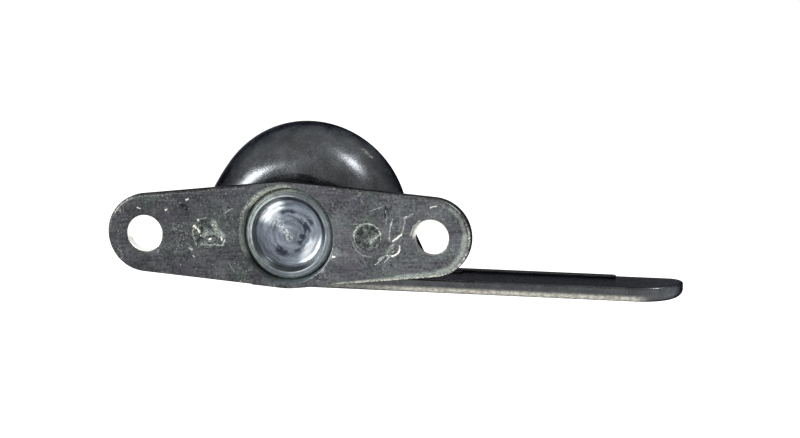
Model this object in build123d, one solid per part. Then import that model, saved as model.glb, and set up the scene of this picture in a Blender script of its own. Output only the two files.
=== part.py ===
from build123d import *
import math
import os

# Crescent sash lock, in millimetres. The origin is on the pivot axis in the plane of the mounting
# face. +X runs along the base plate towards the lever's tip, +Y is the depth from the mounting face
# into the room, and +Z points to the side on which the crescent reaches over to its keeper.

# Base plate
HOLE_PITCH = 50.0
SCREW_HOLE_R = 3.0
PLATE_END_R = 6.7
PLATE_CORNER_Z = 9.1
PLATE_CORNER_R = 12.0
PLATE_T = 2.0
BACK_EDGE_R = 0.55
FRONT_EDGE_R = 0.3
HOLE_EDGE_R = 0.2

# Boss pushed up in the middle of the plate, and the recess that it leaves on the back
BOSS_R = 9.0
BOSS_TOP = 5.2
BOSS_FOOT_R = 0.8
BOSS_EDGE_R = 0.6
RECESS_MOUTH_R = 8.15
RECESS_FLOOR_R = 7.7
RECESS_DEPTH = 3.1
RECESS_EDGE_R = 0.3

# Stop pins, peened over in countersinks on the back
PIN_X = 14.1
PIN_SHANK_R = 1.6
PIN_SHOULDER_R = 1.9
PIN_TOP = 5.0
PIN_CHAMFER = 0.3
PEEN_R = 2.5
PEEN_DEPTH = 0.9
PEEN_SINK = 0.1
PUNCH_R = 1.7
PUNCH_DEPTH = 0.35

# Pivot rivet
SHANK_R = 4.0
RIM_OUTER_R = 7.35
RIM_INNER_R = 6.45
RIM_DEPTH = 1.3
RIM_ROUND = 0.15
FLANGE_R = 7.64
FLANGE_DEPTH = 1.95
DISH_R = 5.9
DISH_EDGE_DEPTH = 2.15
DISH_FLAT_R = 5.0
DISH_FLAT_DEPTH = 2.66
DISH_BOTTOM_R = 2.6
DISH_BOTTOM = 2.75
DISH_TIP_DEPTH = 2.6
HEAD_R = 7.0
HEAD_EDGE_H = 0.8
HEAD_H = 2.7
HEAD_SHOULDER_R = 4.5
HEAD_SHOULDER_H = 2.0

# Washers, from the boss outwards
WASHER_BORE_R = 4.1
THRUST_R = 8.8
THRUST_T = 0.35
AXIAL_PLAY = 0.05
HEAD_WASHER_R = 7.4
HEAD_WASHER_T = 0.6
SPRING_R = 6.6
SPRING_T = 0.5
SPRING_BOW = 0.5

# Crescent lever: hub, dish and strip
HUB_R = 10.0
HUB_BORE_R = 4.06
HUB_FLAT_R = 9.8
HUB_EDGE_R = 0.4
WALL_T = 2.5
RIM_T = 2.3
CRESCENT_R = 17.5
CRESCENT_FAR = 15.7
CRESCENT_END_Z = 1.0
FLARE_ANGLE = 142.0
FLARE_R = 36.0
LEAD_IN_R = 4.5
RIM_EDGE_R = 0.5
STRIP_T = 2.6
STRIP_TIP_X = 65.3
STRIP_DROOP = 1.3
TIP_NEAR_R = 6.9
TIP_FAR_R = 3.0
ROOT_R = 7.0
STRIP_OUTER_EDGE_R = 1.4
STRIP_INNER_EDGE_R = 0.4
LIP_H = 0.3
LIP_W = 1.3
LIP_START_X = 22.0
LIP_END_X = 53.6
WEB_TOP = (16.8, 2.0)
WEB_FOOT = (21.3, -7.85)
WEB_FILLET = 3.0
WEB_NEAR = 12.0
LUG_R = 1.3
LUG_NEAR = 2.9
LUG_ROOT = 9.0
LUG_ANGLE = -13.2

CRESCENT_NEAR = BOSS_TOP + THRUST_T + AXIAL_PLAY
HUB_FAR = CRESCENT_NEAR + WALL_T
HEAD_WASHER_NEAR = HUB_FAR + AXIAL_PLAY
SPRING_NEAR = HEAD_WASHER_NEAR + HEAD_WASHER_T
HEAD_NEAR = SPRING_NEAR + SPRING_T + SPRING_BOW

# Directions, in degrees from a dividing line, of the corners of a wedge that covers one side of it
HALF_TURN_CORNERS = (0, 60, 120, 180)

# Room allowed when an edge is picked by its place or radius
TOLERANCE = 1e-4


def slab(outline, near, far):
    """Solid of an X-Z outline between two depths."""
    return extrude(Plane.XZ.offset(-near) * outline, amount=near - far)


def disc(radius, near, far):
    """Round solid about the pivot axis between two depths."""
    return slab(Circle(radius), near, far)


def ring(outer, bore, near, far):
    """Flat washer about the pivot axis."""
    return disc(outer, near, far) - disc(bore, near, far)


def rounded(points, corners=()):
    """Face of a closed outline, with a radius at each (point, radius) corner named."""
    face = make_face(Polyline(*points, close=True))
    for point, radius in corners:
        face = fillet(face.vertices().sort_by_distance((*point, 0))[0], radius)
    return face


def turned(face):
    """Solid turned about the pivot axis from a (radius, depth) face."""
    return revolve(face, Axis.Y)


def edges_at_depth(body, depth):
    """Edges whose middle lies at one depth."""
    return body.edges().filter_by_position(Axis.Y, depth - TOLERANCE, depth + TOLERANCE)


def is_circle(edge, radius):
    """True for a circular edge of the given radius."""
    return edge.geom_type == GeomType.CIRCLE and abs(edge.radius - radius) < TOLERANCE


def plate_outline():
    """Lozenge with round ends that are concentric with the screw holes."""
    edges = [(Pos(side * HOLE_PITCH / 2, 0) * Circle(PLATE_END_R)).edge() for side in (-1, 1)]
    edges.append(Line((0, -PLATE_CORNER_Z), (0, PLATE_CORNER_Z)).edge())
    hull = make_hull(edges)
    for side in (-1, 1):
        hull = fillet(hull.vertices().sort_by_distance((0, side * PLATE_CORNER_Z, 0))[0], PLATE_CORNER_R)
    return hull


def boss():
    """Round boss whose foot flows out into the plate, kept inside the plate's outline."""
    foot_r = BOSS_R + 2 * BOSS_FOOT_R
    points = ((0, 0), (foot_r, 0), (foot_r, PLATE_T), (BOSS_R, PLATE_T), (BOSS_R, BOSS_TOP), (0, BOSS_TOP))
    corners = ((points[3], BOSS_FOOT_R), (points[4], BOSS_EDGE_R))
    return turned(rounded(points, corners)) & slab(plate_outline(), 0, BOSS_TOP)


def recess():
    """Round hollow on the back, behind the boss, with a leaning wall."""
    floor_edge = (RECESS_FLOOR_R, RECESS_DEPTH)
    points = ((0, 0), (RECESS_MOUTH_R, 0), floor_edge, (0, RECESS_DEPTH))
    return turned(rounded(points, ((floor_edge, RECESS_EDGE_R),)))


def countersink():
    """Cone that a pin's end is peened into."""
    return turned(rounded(((0, 0), (PEEN_R, 0), (PIN_SHANK_R, PEEN_DEPTH), (0, PEEN_DEPTH))))


def base_plate():
    """Pressed steel plate with its boss, recess, screw holes and pin holes."""
    plate = slab(plate_outline(), 0, PLATE_T)
    plate = fillet(edges_at_depth(plate, 0), BACK_EDGE_R)
    plate = fillet(edges_at_depth(plate, PLATE_T), FRONT_EDGE_R)
    for side in (-1, 1):
        plate -= Pos(side * HOLE_PITCH / 2, 0, 0) * disc(SCREW_HOLE_R, 0, PLATE_T)
    plate = fillet(plate.edges().filter_by(lambda edge: is_circle(edge, SCREW_HOLE_R)), HOLE_EDGE_R)
    plate = plate + boss() - recess()
    plate = fillet(plate.edges().filter_by(lambda edge: is_circle(edge, RECESS_MOUTH_R)), RECESS_EDGE_R)
    for side in (-1, 1):
        plate -= Pos(side * PIN_X, 0, 0) * (disc(PIN_SHANK_R, 0, PLATE_T) + countersink())
    return plate - disc(SHANK_R, 0, BOSS_TOP)


def punch_mark():
    """Shallow round hollow that the punch leaves in a pin's peened end."""
    bottom = PEEN_SINK + PUNCH_DEPTH
    edge = (PUNCH_R, PEEN_SINK)
    hollow = ThreePointArc((-PUNCH_R, PEEN_SINK), (0, bottom), edge)
    half = make_face([hollow, Line(edge, (-PUNCH_R, PEEN_SINK))]) & Pos(PUNCH_R, 0) * Rectangle(2 * PUNCH_R, 4 * PUNCH_R)
    return turned(half)


def stop_pins():
    """Two shouldered pins, peened over on the back, as separate solids."""
    shank = disc(PIN_SHANK_R, PEEN_DEPTH, PLATE_T)
    shoulder = disc(PIN_SHOULDER_R, PLATE_T, PIN_TOP)
    shoulder = chamfer(edges_at_depth(shoulder, PIN_TOP), PIN_CHAMFER)
    peened_end = (countersink() & disc(PEEN_R, PEEN_SINK, PEEN_DEPTH)) - punch_mark()
    pin = peened_end + shank + shoulder
    return Compound([Pos(side * PIN_X, 0, 0) * pin for side in (-1, 1)])


def pivot_rivet():
    """Rivet with a button head, its other end spun out into a dished rim in the recess."""
    head_far = HEAD_NEAR + HEAD_H
    head_edge = (HEAD_R, HEAD_NEAR + HEAD_EDGE_H)
    crown = ((RIM_OUTER_R, RIM_DEPTH), (RIM_INNER_R, RIM_DEPTH))
    points = (
        (0, RIM_DEPTH),
        crown[0],
        (FLANGE_R, FLANGE_DEPTH),
        (FLANGE_R, RECESS_DEPTH),
        (SHANK_R, RECESS_DEPTH),
        (SHANK_R, HEAD_NEAR),
        (HEAD_R, HEAD_NEAR),
        head_edge,
        (0, head_edge[1]),
    )
    body = turned(rounded(points, ((crown[0], RIM_ROUND),)))
    crown_arc = ThreePointArc(head_edge, (HEAD_SHOULDER_R, HEAD_NEAR + HEAD_SHOULDER_H), (0, head_far))
    body += turned(make_face([crown_arc, Polyline((0, head_far), (0, head_edge[1]), head_edge)]))
    floor = ThreePointArc((0, DISH_TIP_DEPTH), (DISH_BOTTOM_R, DISH_BOTTOM), (DISH_FLAT_R, DISH_FLAT_DEPTH))
    flank = TangentArc(floor @ 1, (DISH_R, DISH_EDGE_DEPTH), tangent=floor % 1)
    rest = Polyline(flank @ 1, crown[1], (0, RIM_DEPTH), (0, DISH_TIP_DEPTH))
    return body - turned(make_face([floor, flank, rest]))


def thrust_washer():
    """Thin washer between the boss and the crescent lever."""
    return ring(THRUST_R, WASHER_BORE_R, BOSS_TOP, BOSS_TOP + THRUST_T)


def head_washer():
    """Flat washer on the room side of the crescent lever's hub."""
    return ring(HEAD_WASHER_R, WASHER_BORE_R, HEAD_WASHER_NEAR, SPRING_NEAR)


def spring_washer():
    """Spring washer bent about one line, held between the flat washer and the rivet's head."""
    end_near = SPRING_NEAR + SPRING_BOW
    near_arc = ThreePointArc((-SPRING_R, end_near), (0, SPRING_NEAR), (SPRING_R, end_near))
    far_arc = ThreePointArc((SPRING_R, HEAD_NEAR), (0, SPRING_NEAR + SPRING_T), (-SPRING_R, HEAD_NEAR))
    sides = [Line(near_arc @ 1, far_arc @ 0), Line(far_arc @ 1, near_arc @ 0)]
    bent = extrude(make_face([near_arc, far_arc, *sides]), amount=SPRING_R, both=True)
    return bent & ring(SPRING_R, WASHER_BORE_R, SPRING_NEAR, HEAD_NEAR)


def dish_skin(flat_r, rim_r, near):
    """Solid inside a dish: a flat round floor that curves up through a quarter ellipse to the rim."""
    floor = Line((0, near), (flat_r, near))
    flank = EllipticalCenterArc((flat_r, CRESCENT_FAR), rim_r - flat_r, CRESCENT_FAR - near, 270, arc_size=90)
    top = Polyline(flank @ 1, (0, CRESCENT_FAR), (0, near))
    return turned(make_face([floor, flank, top]))


def dish(growth, web=None):
    """Hollow round dish, its radii larger than the crescent's by growth, with a web if one is given."""
    flat_r = HUB_FLAT_R + growth
    rim_r = CRESCENT_R + growth
    inner_r = rim_r - RIM_T
    body = dish_skin(flat_r, rim_r, CRESCENT_NEAR)
    body = fillet(edges_at_depth(body, CRESCENT_FAR), RIM_EDGE_R)
    if web:
        body += web
    body -= dish_skin(flat_r, inner_r, HUB_FAR)
    return fillet(body.edges().filter_by(lambda edge: is_circle(edge, inner_r)), RIM_EDGE_R)


def flare_side(reach):
    """Everything on the lead-in side of the plane through the pivot axis where the flare starts."""
    angles = [math.radians(FLARE_ANGLE + turn) for turn in HALF_TURN_CORNERS]
    corners = [(reach * math.cos(angle), reach * math.sin(angle)) for angle in angles]
    return slab(make_face(Polyline(*corners, close=True)), 0, reach)


def corner_web():
    """Web that fills the corner between the dish's rim and the strip."""
    low_z = STRIP_T / 2 - HUB_R
    foot_end_x = WEB_FOOT[0] + 2 * WEB_FILLET
    start_x = CRESCENT_R / 2
    points = (
        (start_x, WEB_TOP[1]),
        WEB_TOP,
        WEB_FOOT,
        (foot_end_x, WEB_FOOT[1]),
        (foot_end_x, low_z),
        (start_x, low_z),
    )
    return slab(rounded(points, ((WEB_FOOT, WEB_FILLET),)), WEB_NEAR, CRESCENT_FAR)


def crescent():
    """Hollow dish with its web, cut off where it lands on the strip and at its flared lead-in end."""
    reach = 2 * FLARE_R
    strip_mid_z = STRIP_T / 2 - HUB_R
    growth = FLARE_R - CRESCENT_R
    angle = math.radians(FLARE_ANGLE)
    flare = Pos(-growth * math.cos(angle), 0, -growth * math.sin(angle)) * dish(growth)
    body = (dish(0, corner_web()) - flare_side(reach)) + (flare & flare_side(reach))
    body -= slab(Pos(-reach / 2, CRESCENT_END_Z - reach / 2) * Rectangle(reach, reach), 0, reach)
    body -= slab(Pos(0, strip_mid_z - reach / 2) * Rectangle(2 * reach, reach), 0, reach)
    centre = (CRESCENT_FAR - LEAD_IN_R, CRESCENT_END_Z + LEAD_IN_R)
    corner = Pos(centre[0] + LEAD_IN_R / 2, centre[1] - LEAD_IN_R / 2) * Rectangle(LEAD_IN_R, LEAD_IN_R)
    corner -= Pos(*centre) * Circle(LEAD_IN_R)
    return body - extrude(Plane.YZ * corner, amount=-reach)


def strip():
    """Lever strip, flat side up, with a rounded tip, soft edges and a low lip along its far edge."""
    root = (0, CRESCENT_FAR)
    tip_near = (STRIP_TIP_X, CRESCENT_NEAR)
    tip_far = (STRIP_TIP_X, CRESCENT_FAR)
    corners = ((tip_near, TIP_NEAR_R), (tip_far, TIP_FAR_R), (root, ROOT_R))
    plan = rounded(((0, CRESCENT_NEAR), tip_near, tip_far, root), corners)
    bar = Pos(0, 0, -HUB_R) * extrude(plan, amount=STRIP_T)
    bar = fillet(bar.edges().group_by(Axis.Z)[0], STRIP_OUTER_EDGE_R)
    bar = fillet(bar.edges().group_by(Axis.Z)[-1], STRIP_INNER_EDGE_R)
    lip_outline = Pos((LIP_START_X + LIP_END_X) / 2, CRESCENT_FAR - STRIP_INNER_EDGE_R - LIP_W / 2)
    lip_outline *= SlotOverall(LIP_END_X - LIP_START_X, LIP_W)
    lip = Pos(0, 0, STRIP_T / 2 - HUB_R) * extrude(lip_outline, amount=STRIP_T / 2 + LIP_H)
    lip = fillet(lip.edges().group_by(Axis.Z)[-1], LIP_H / 2)
    return Rot(0, STRIP_DROOP, 0) * (bar + lip)


def crescent_lever():
    """Crescent dish, hub, lever strip, corner web and stop lug in one piece."""
    hub = disc(HUB_R, CRESCENT_NEAR, HUB_FAR)
    hub = fillet(hub.edges(), HUB_EDGE_R)
    angle = math.radians(LUG_ANGLE)
    lug = Pos(PIN_X * math.cos(angle), 0, PIN_X * math.sin(angle)) * disc(LUG_R, LUG_NEAR, LUG_ROOT)
    lug = chamfer(edges_at_depth(lug, LUG_NEAR), PIN_CHAMFER)
    body = crescent() + hub + strip() + lug
    return body - disc(HUB_BORE_R, CRESCENT_NEAR, HUB_FAR)


def main():
    """Build every node and write its STEP file."""
    os.makedirs("parts", exist_ok=True)
    fixed = (base_plate, stop_pins, pivot_rivet, thrust_washer, head_washer, spring_washer)
    for build in (*fixed, crescent_lever):
        export_step(build(), f"parts/{build.__name__}.step")


main()
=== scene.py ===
"""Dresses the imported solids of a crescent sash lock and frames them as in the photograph."""

import logging
import math
from dataclasses import dataclass
from enum import Enum
from functools import reduce
from typing import Callable, Sequence

import bpy
from mathutils import Matrix, Vector, noise

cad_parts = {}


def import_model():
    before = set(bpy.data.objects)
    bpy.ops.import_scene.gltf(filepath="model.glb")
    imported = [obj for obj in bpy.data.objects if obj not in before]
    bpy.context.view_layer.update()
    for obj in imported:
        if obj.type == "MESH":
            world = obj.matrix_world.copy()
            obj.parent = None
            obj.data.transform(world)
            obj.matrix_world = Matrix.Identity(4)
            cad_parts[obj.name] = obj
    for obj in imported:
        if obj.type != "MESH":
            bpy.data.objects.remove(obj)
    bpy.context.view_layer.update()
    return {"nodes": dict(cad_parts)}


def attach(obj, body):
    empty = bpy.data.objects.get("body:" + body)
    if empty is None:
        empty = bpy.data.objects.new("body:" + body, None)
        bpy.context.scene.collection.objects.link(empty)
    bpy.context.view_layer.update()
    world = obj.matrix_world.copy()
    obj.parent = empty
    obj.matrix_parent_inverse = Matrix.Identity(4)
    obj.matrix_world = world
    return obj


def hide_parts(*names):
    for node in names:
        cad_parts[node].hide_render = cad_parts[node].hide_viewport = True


log = logging.getLogger("sash_lock")

Colour = tuple[float, float, float]
Point = tuple[float, float]
Range = tuple[float, float]
Socket = bpy.types.NodeSocket

MM = 0.001
WELD = 0.0001 * MM
SMOOTH_ANGLE = math.radians(34.0)
WHITE = (1.0, 1.0, 1.0)
# Keeps X and Z of a place and drops its depth.
FLATTEN = (1.0, 0.0, 1.0)
# Most values of an even pattern lie between these two.
COMMON = (0.35, 0.65)
# noise_vector takes its offsets from this seed, and from the clock without one.
NOISE_SEED = 3


class Node(Enum):
    """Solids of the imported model."""

    BASE_PLATE = "base_plate"
    STOP_PINS = "stop_pins"
    PIVOT_RIVET = "pivot_rivet"
    THRUST_WASHER = "thrust_washer"
    CRESCENT_LEVER = "crescent_lever"
    HEAD_WASHER = "head_washer"
    SPRING_WASHER = "spring_washer"


@dataclass
class Graph:
    """Node tree of one finish, with short calls for the nodes that the finishes use."""

    name: str
    metal: float = 1.0

    def __post_init__(self) -> None:
        """Starts a material with one shader."""
        self.result = bpy.data.materials.new(self.name)
        self.result.use_nodes = True
        self.nodes = self.result.node_tree.nodes
        self.links = self.result.node_tree.links
        self.nodes.clear()
        self.shader = self.nodes.new("ShaderNodeBsdfPrincipled")
        self.shader.inputs["Metallic"].default_value = self.metal
        output = self.nodes.new("ShaderNodeOutputMaterial")
        self.links.new(self.shader.outputs["BSDF"], output.inputs["Surface"])
        coordinates = self.nodes.new("ShaderNodeTexCoord")
        self.place = self.vector("SCALE", coordinates.outputs["Object"], scale=1.0 / MM)
        self.x, self.y, self.z = self.axes(self.place)
        self.facing_x, self.facing_y, self.facing_z = self.axes(coordinates.outputs["Normal"])

    def feed(self, socket: Socket, value: object) -> None:
        """Links a socket, or sets it to a constant.

        Args:
            socket: Input that takes the value.
            value: Another node's output, a number or a colour.
        """
        if isinstance(value, Socket):
            self.links.new(value, socket)
        elif isinstance(value, tuple) and len(socket.default_value) == len(value) + 1:
            socket.default_value = (*value, 1.0)
        else:
            socket.default_value = value

    def vector(self, kind: str, first: object, second: object = None, scale: object = None) -> Socket:
        """One step of vector arithmetic.

        Args:
            kind: Name of the operation.
            first: First vector.
            second: Second vector, if the operation takes one.
            scale: Factor, if the operation takes one.

        Returns:
            The result, a number for a distance or a dot product.
        """
        node = self.nodes.new("ShaderNodeVectorMath")
        node.operation = kind
        self.feed(node.inputs[0], first)
        if second is not None:
            self.feed(node.inputs[1], second)
        if scale is not None:
            self.feed(node.inputs["Scale"], scale)
        return node.outputs["Value" if kind in ("DISTANCE", "DOT_PRODUCT", "LENGTH") else "Vector"]

    def axes(self, vector: Socket) -> tuple[Socket, Socket, Socket]:
        """Splits a vector.

        Args:
            vector: Vector to split.

        Returns:
            Its three parts.
        """
        node = self.nodes.new("ShaderNodeSeparateXYZ")
        self.links.new(vector, node.inputs[0])
        return node.outputs[0], node.outputs[1], node.outputs[2]

    def number(self, kind: str, first: object, second: object = 0.0, third: object = 0.0) -> Socket:
        """One step of arithmetic.

        Args:
            kind: Name of the operation.
            first: First input.
            second: Second input.
            third: Third input, for the operations that take one.

        Returns:
            The result.
        """
        node = self.nodes.new("ShaderNodeMath")
        node.operation = kind
        for socket, value in zip(node.inputs, (first, second, third)):
            self.feed(socket, value)
        return node.outputs["Value"]

    def product(self, *values: object) -> Socket:
        """Product of several masks or numbers."""
        return reduce(lambda first, second: self.number("MULTIPLY", first, second), values)

    def total(self, *parts: tuple[object, float]) -> Socket:
        """Adds up several patterns.

        Args:
            parts: Each pattern with its weight.

        Returns:
            Their weighted sum.
        """
        result = 0.0
        for value, weight in parts:
            result = self.number("MULTIPLY_ADD", value, weight, result)
        return result

    def either(self, *values: object) -> Socket:
        """The greatest of several masks at each point."""
        return reduce(lambda first, second: self.number("MAXIMUM", first, second), values)

    def span(
        self, value: object, low: float, high: float, to_low: float = 0.0, to_high: float = 1.0
    ) -> Socket:
        """Soft clamped map of one range to another.

        Args:
            value: Input.
            low: Input that gives to_low.
            high: Input that gives to_high.
            to_low: Output at low.
            to_high: Output at high.

        Returns:
            The mapped value.
        """
        node = self.nodes.new("ShaderNodeMapRange")
        node.interpolation_type = "SMOOTHSTEP"
        rising = low < high
        ends = (low, high, to_low, to_high) if rising else (high, low, to_high, to_low)
        for name, number in zip(("From Min", "From Max", "To Min", "To Max"), ends):
            node.inputs[name].default_value = number
        self.feed(node.inputs["Value"], value)
        return node.outputs["Result"]

    def vary(self, pattern: Socket, low: float, high: float) -> Socket:
        """The common values of an even pattern, spread from low to high."""
        return self.span(pattern, *COMMON, low, high)

    def band(self, value: object, low: float, high: float, soft: float) -> Socket:
        """Mask of the values from low to high, with ends that fade over soft on each side."""
        starts = self.span(value, low - soft, low + soft)
        return self.product(starts, self.span(value, high + soft, high - soft))

    def texture(self, kind: str, place: Socket, output: str, **settings: float) -> Socket:
        """Adds a texture.

        Args:
            kind: Kind of texture, as its node names it.
            place: Place that it is read at.
            output: Name of the output to take.
            settings: Values of its inputs by name.

        Returns:
            That output.
        """
        node = self.nodes.new(f"ShaderNodeTex{kind}")
        for name, value in settings.items():
            node.inputs[name].default_value = value
        self.links.new(place, node.inputs["Vector"])
        return node.outputs[output]

    def noise(
        self,
        size_mm: float,
        detail: float = 3.0,
        rough: float = 0.55,
        stretch: tuple[float, float, float] = (1.0, 1.0, 1.0),
        drag: float = 0.0,
    ) -> Socket:
        """Random pattern with even contrast.

        Args:
            size_mm: Size of its largest blotches.
            detail: Number of finer layers.
            rough: Strength of the finer layers.
            stretch: How many times longer the blotches are along each axis.
            drag: How far the pattern is dragged about.

        Returns:
            Its value, about 0.5 on average.
        """
        place = self.vector("MULTIPLY", self.place, tuple(1.0 / (size_mm * length) for length in stretch))
        return self.texture("Noise", place, "Fac", Scale=1.0, Detail=detail, Roughness=rough, Distortion=drag)

    def cells(self, size_mm: float) -> Socket:
        """Distance to the nearest of many points scattered size_mm apart, as a share of that size."""
        return self.texture("Voronoi", self.place, "Distance", Scale=1.0 / size_mm)

    def wobbled(self, size_mm: float, reach_mm: float) -> Socket:
        """Place across the mounting face, shaken about by a pattern.

        Args:
            size_mm: Size of the pattern.
            reach_mm: Greatest shift.

        Returns:
            The shaken place, flat on the mounting face.
        """
        pattern = self.texture("Noise", self.place, "Color", Scale=1.0 / size_mm, Detail=2.0)
        shift = self.vector("SUBTRACT", pattern, (0.5, 0.5, 0.5))
        moved = self.vector("ADD", self.place, self.vector("SCALE", shift, scale=2.0 * reach_mm))
        return self.vector("MULTIPLY", moved, FLATTEN)

    def stroke(self, flat: Socket, points: Sequence[Point], width_mm: float) -> Socket:
        """Mask of a line or spot on the mounting face.

        Args:
            flat: Place across the mounting face.
            points: Corners of the line, along X and Z.
            width_mm: Width of the line.

        Returns:
            1 along the middle of the line, 0 beyond its width.
        """
        nearest = None
        if len(points) == 1:
            nearest = self.vector("DISTANCE", flat, (points[0][0], 0.0, points[0][1]))
        for (x0, z0), (x1, z1) in zip(points, points[1:]):
            run = Vector((x1 - x0, 0.0, z1 - z0))
            offset = self.vector("SUBTRACT", flat, (x0, 0.0, z0))
            along = self.vector("DOT_PRODUCT", offset, tuple(run / run.length_squared))
            along = self.number("MINIMUM", self.number("MAXIMUM", along, 0.0), 1.0)
            away = self.vector("DISTANCE", offset, self.vector("SCALE", tuple(run), scale=along))
            nearest = away if nearest is None else self.number("MINIMUM", nearest, away)
        return self.span(nearest, 0.5 * width_mm, 0.1 * width_mm)

    def radius(self, centre_x: float = 0.0) -> Socket:
        """Distance in millimetres from an axis along the depth, which crosses X at centre_x."""
        offset = self.vector("SUBTRACT", self.place, (centre_x, 0.0, 0.0))
        return self.vector("LENGTH", self.vector("MULTIPLY", offset, FLATTEN))

    def toward(self, degrees: float, low: float, high: float) -> Socket:
        """Mask of what lies in one direction from the pivot's axis.

        Args:
            degrees: The direction, from +X towards +Z.
            low: Cosine of the angle from it where the mask starts.
            high: Cosine of the angle from it where the mask is full.

        Returns:
            The mask.
        """
        aim = (math.cos(math.radians(degrees)), 0.0, math.sin(math.radians(degrees)))
        flat = self.vector("NORMALIZE", self.vector("MULTIPLY", self.place, FLATTEN))
        return self.span(self.vector("DOT_PRODUCT", flat, aim), low, high)

    def blend(self, share: object, first: object, second: object) -> Socket:
        """Mix of two colours.

        Args:
            share: Share of the second colour, from 0 to 1.
            first: First colour.
            second: Second colour.

        Returns:
            The mixed colour.
        """
        node = self.nodes.new("ShaderNodeMix")
        node.data_type = "RGBA"
        self.feed(node.inputs[0], share)
        self.feed(node.inputs[6], first)
        self.feed(node.inputs[7], second)
        return node.outputs[2]

    def shade(self, colour: Socket | Colour, factor: Socket) -> Socket:
        """The colour, made lighter or darker by a factor."""
        return self.vector("SCALE", colour, scale=factor)

    def finish(
        self, colour: Socket, roughness: Socket, height: Socket, depth_mm: float, grazing: Colour | Socket
    ) -> bpy.types.Material:
        """Connects the finish to the shader.

        Args:
            colour: Colour of the surface.
            roughness: Roughness of the surface.
            height: Fine relief, from 0 to 1.
            depth_mm: Height of its tops over its bottoms.
            grazing: Tint of what is reflected at a flat angle.

        Returns:
            The finished material.
        """
        self.feed(self.shader.inputs["Base Color"], colour)
        self.feed(self.shader.inputs["Roughness"], roughness)
        self.feed(self.shader.inputs["Specular Tint"], grazing)
        relief = self.nodes.new("ShaderNodeBump")
        relief.inputs["Distance"].default_value = depth_mm * MM
        self.links.new(height, relief.inputs["Height"])
        self.links.new(relief.outputs["Normal"], self.shader.inputs["Normal"])
        return self.result


class Tone(Enum):
    """What a mark on the mounting face is worn down to."""

    BARE = (0.68, 0.665, 0.58)
    PALE = (0.3, 0.335, 0.3)
    DEEP = (0.014, 0.017, 0.017)


@dataclass(frozen=True)
class Mark:
    """One line or spot worn into the mounting face, along X and Z."""

    tone: Tone
    width_mm: float
    strength: float
    points: tuple[Point, ...]


# Width in millimetres, strength, and the corners along X and Z.
DEEP_MARKS = (
    (1.6, 0.5, ((19.3, 2.9), (19.0, 0.6))),
    (1.3, 0.45, ((18.9, -2.0), (17.5, -2.3))),
    (1.8, 0.75, ((-14.7, 1.9), (-13.9, 1.5))),
    (0.8, 0.6, ((-13.9, -0.6), (-12.8, -0.9))),
    (0.7, 0.6, ((-15.3, -1.0),)),
)
PALE_MARKS = (
    (0.3, 0.55, ((18.6, 3.0), (18.3, 2.2), (18.0, 0.8), (18.0, -0.6))),
    (0.34, 0.58, ((22.0, 4.0), (20.6, 3.2), (20.7, 2.7), (20.3, 1.3), (20.0, 0.4))),
    (0.24, 0.5, ((17.3, 4.6), (17.6, 3.4), (17.4, 2.2))),
    (0.22, 0.55, ((18.9, -1.0), (18.2, -1.6), (18.7, -2.3), (17.9, -2.7))),
    (0.5, 0.7, ((21.6, 0.4), (22.1, 1.8), (23.2, 2.9))),
    (1.1, 0.4, ((18.4, -1.5), (17.4, -2.6))),
    (0.5, 0.7, ((18.3, -3.2), (17.2, -3.1), (16.0, -3.8))),
    (0.3, 0.8, ((17.9, -3.2), (16.9, -4.3))),
    (0.3, 0.8, ((17.2, -3.1), (15.4, -4.7))),
    (0.4, 0.4, ((11.6, -1.1), (12.1, -2.3), (13.4, -3.2), (14.8, -3.4))),
    (0.25, 0.5, ((16.8, 5.1), (14.8, 4.4))),
    (0.9, 0.5, ((13.6, 1.1),)),
    (1.7, 0.6, ((-12.7, 1.9), (-12.2, 0.7), (-11.3, -0.2))),
    (0.9, 0.8, ((-14.1, 0.3), (-14.6, -0.4))),
    (0.4, 0.8, ((-14.6, -1.9), (-12.7, -1.8), (-11.2, -1.9), (-10.8, -0.9))),
    (0.3, 0.55, ((-16.4, 0.2), (-16.2, -1.2), (-15.9, -1.9))),
    (0.3, 0.4, ((-15.3, 2.5), (-14.0, 2.8))),
    (0.3, 0.5, ((-10.8, 3.6), (-9.3, 4.5))),
    (0.26, 0.3, ((-19.8, 1.8), (-19.9, 1.2), (-19.2, 0.7), (-18.2, 0.4))),
    (0.22, 0.25, ((-19.4, -1.2), (-18.9, -1.9), (-19.8, -3.3))),
    (0.25, 0.4, ((-10.1, -5.1), (-9.3, -6.4))),
    (1.5, 0.62, ((30.9, 0.5), (30.3, -2.6), (28.4, -5.0), (25.6, -6.1), (19.0, -6.9))),
    (0.9, 0.5, ((19.0, -6.9), (9.0, -8.1))),
    (1.0, 0.4, ((30.9, 0.5), (30.2, 3.2), (28.4, 5.0))),
)
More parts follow.
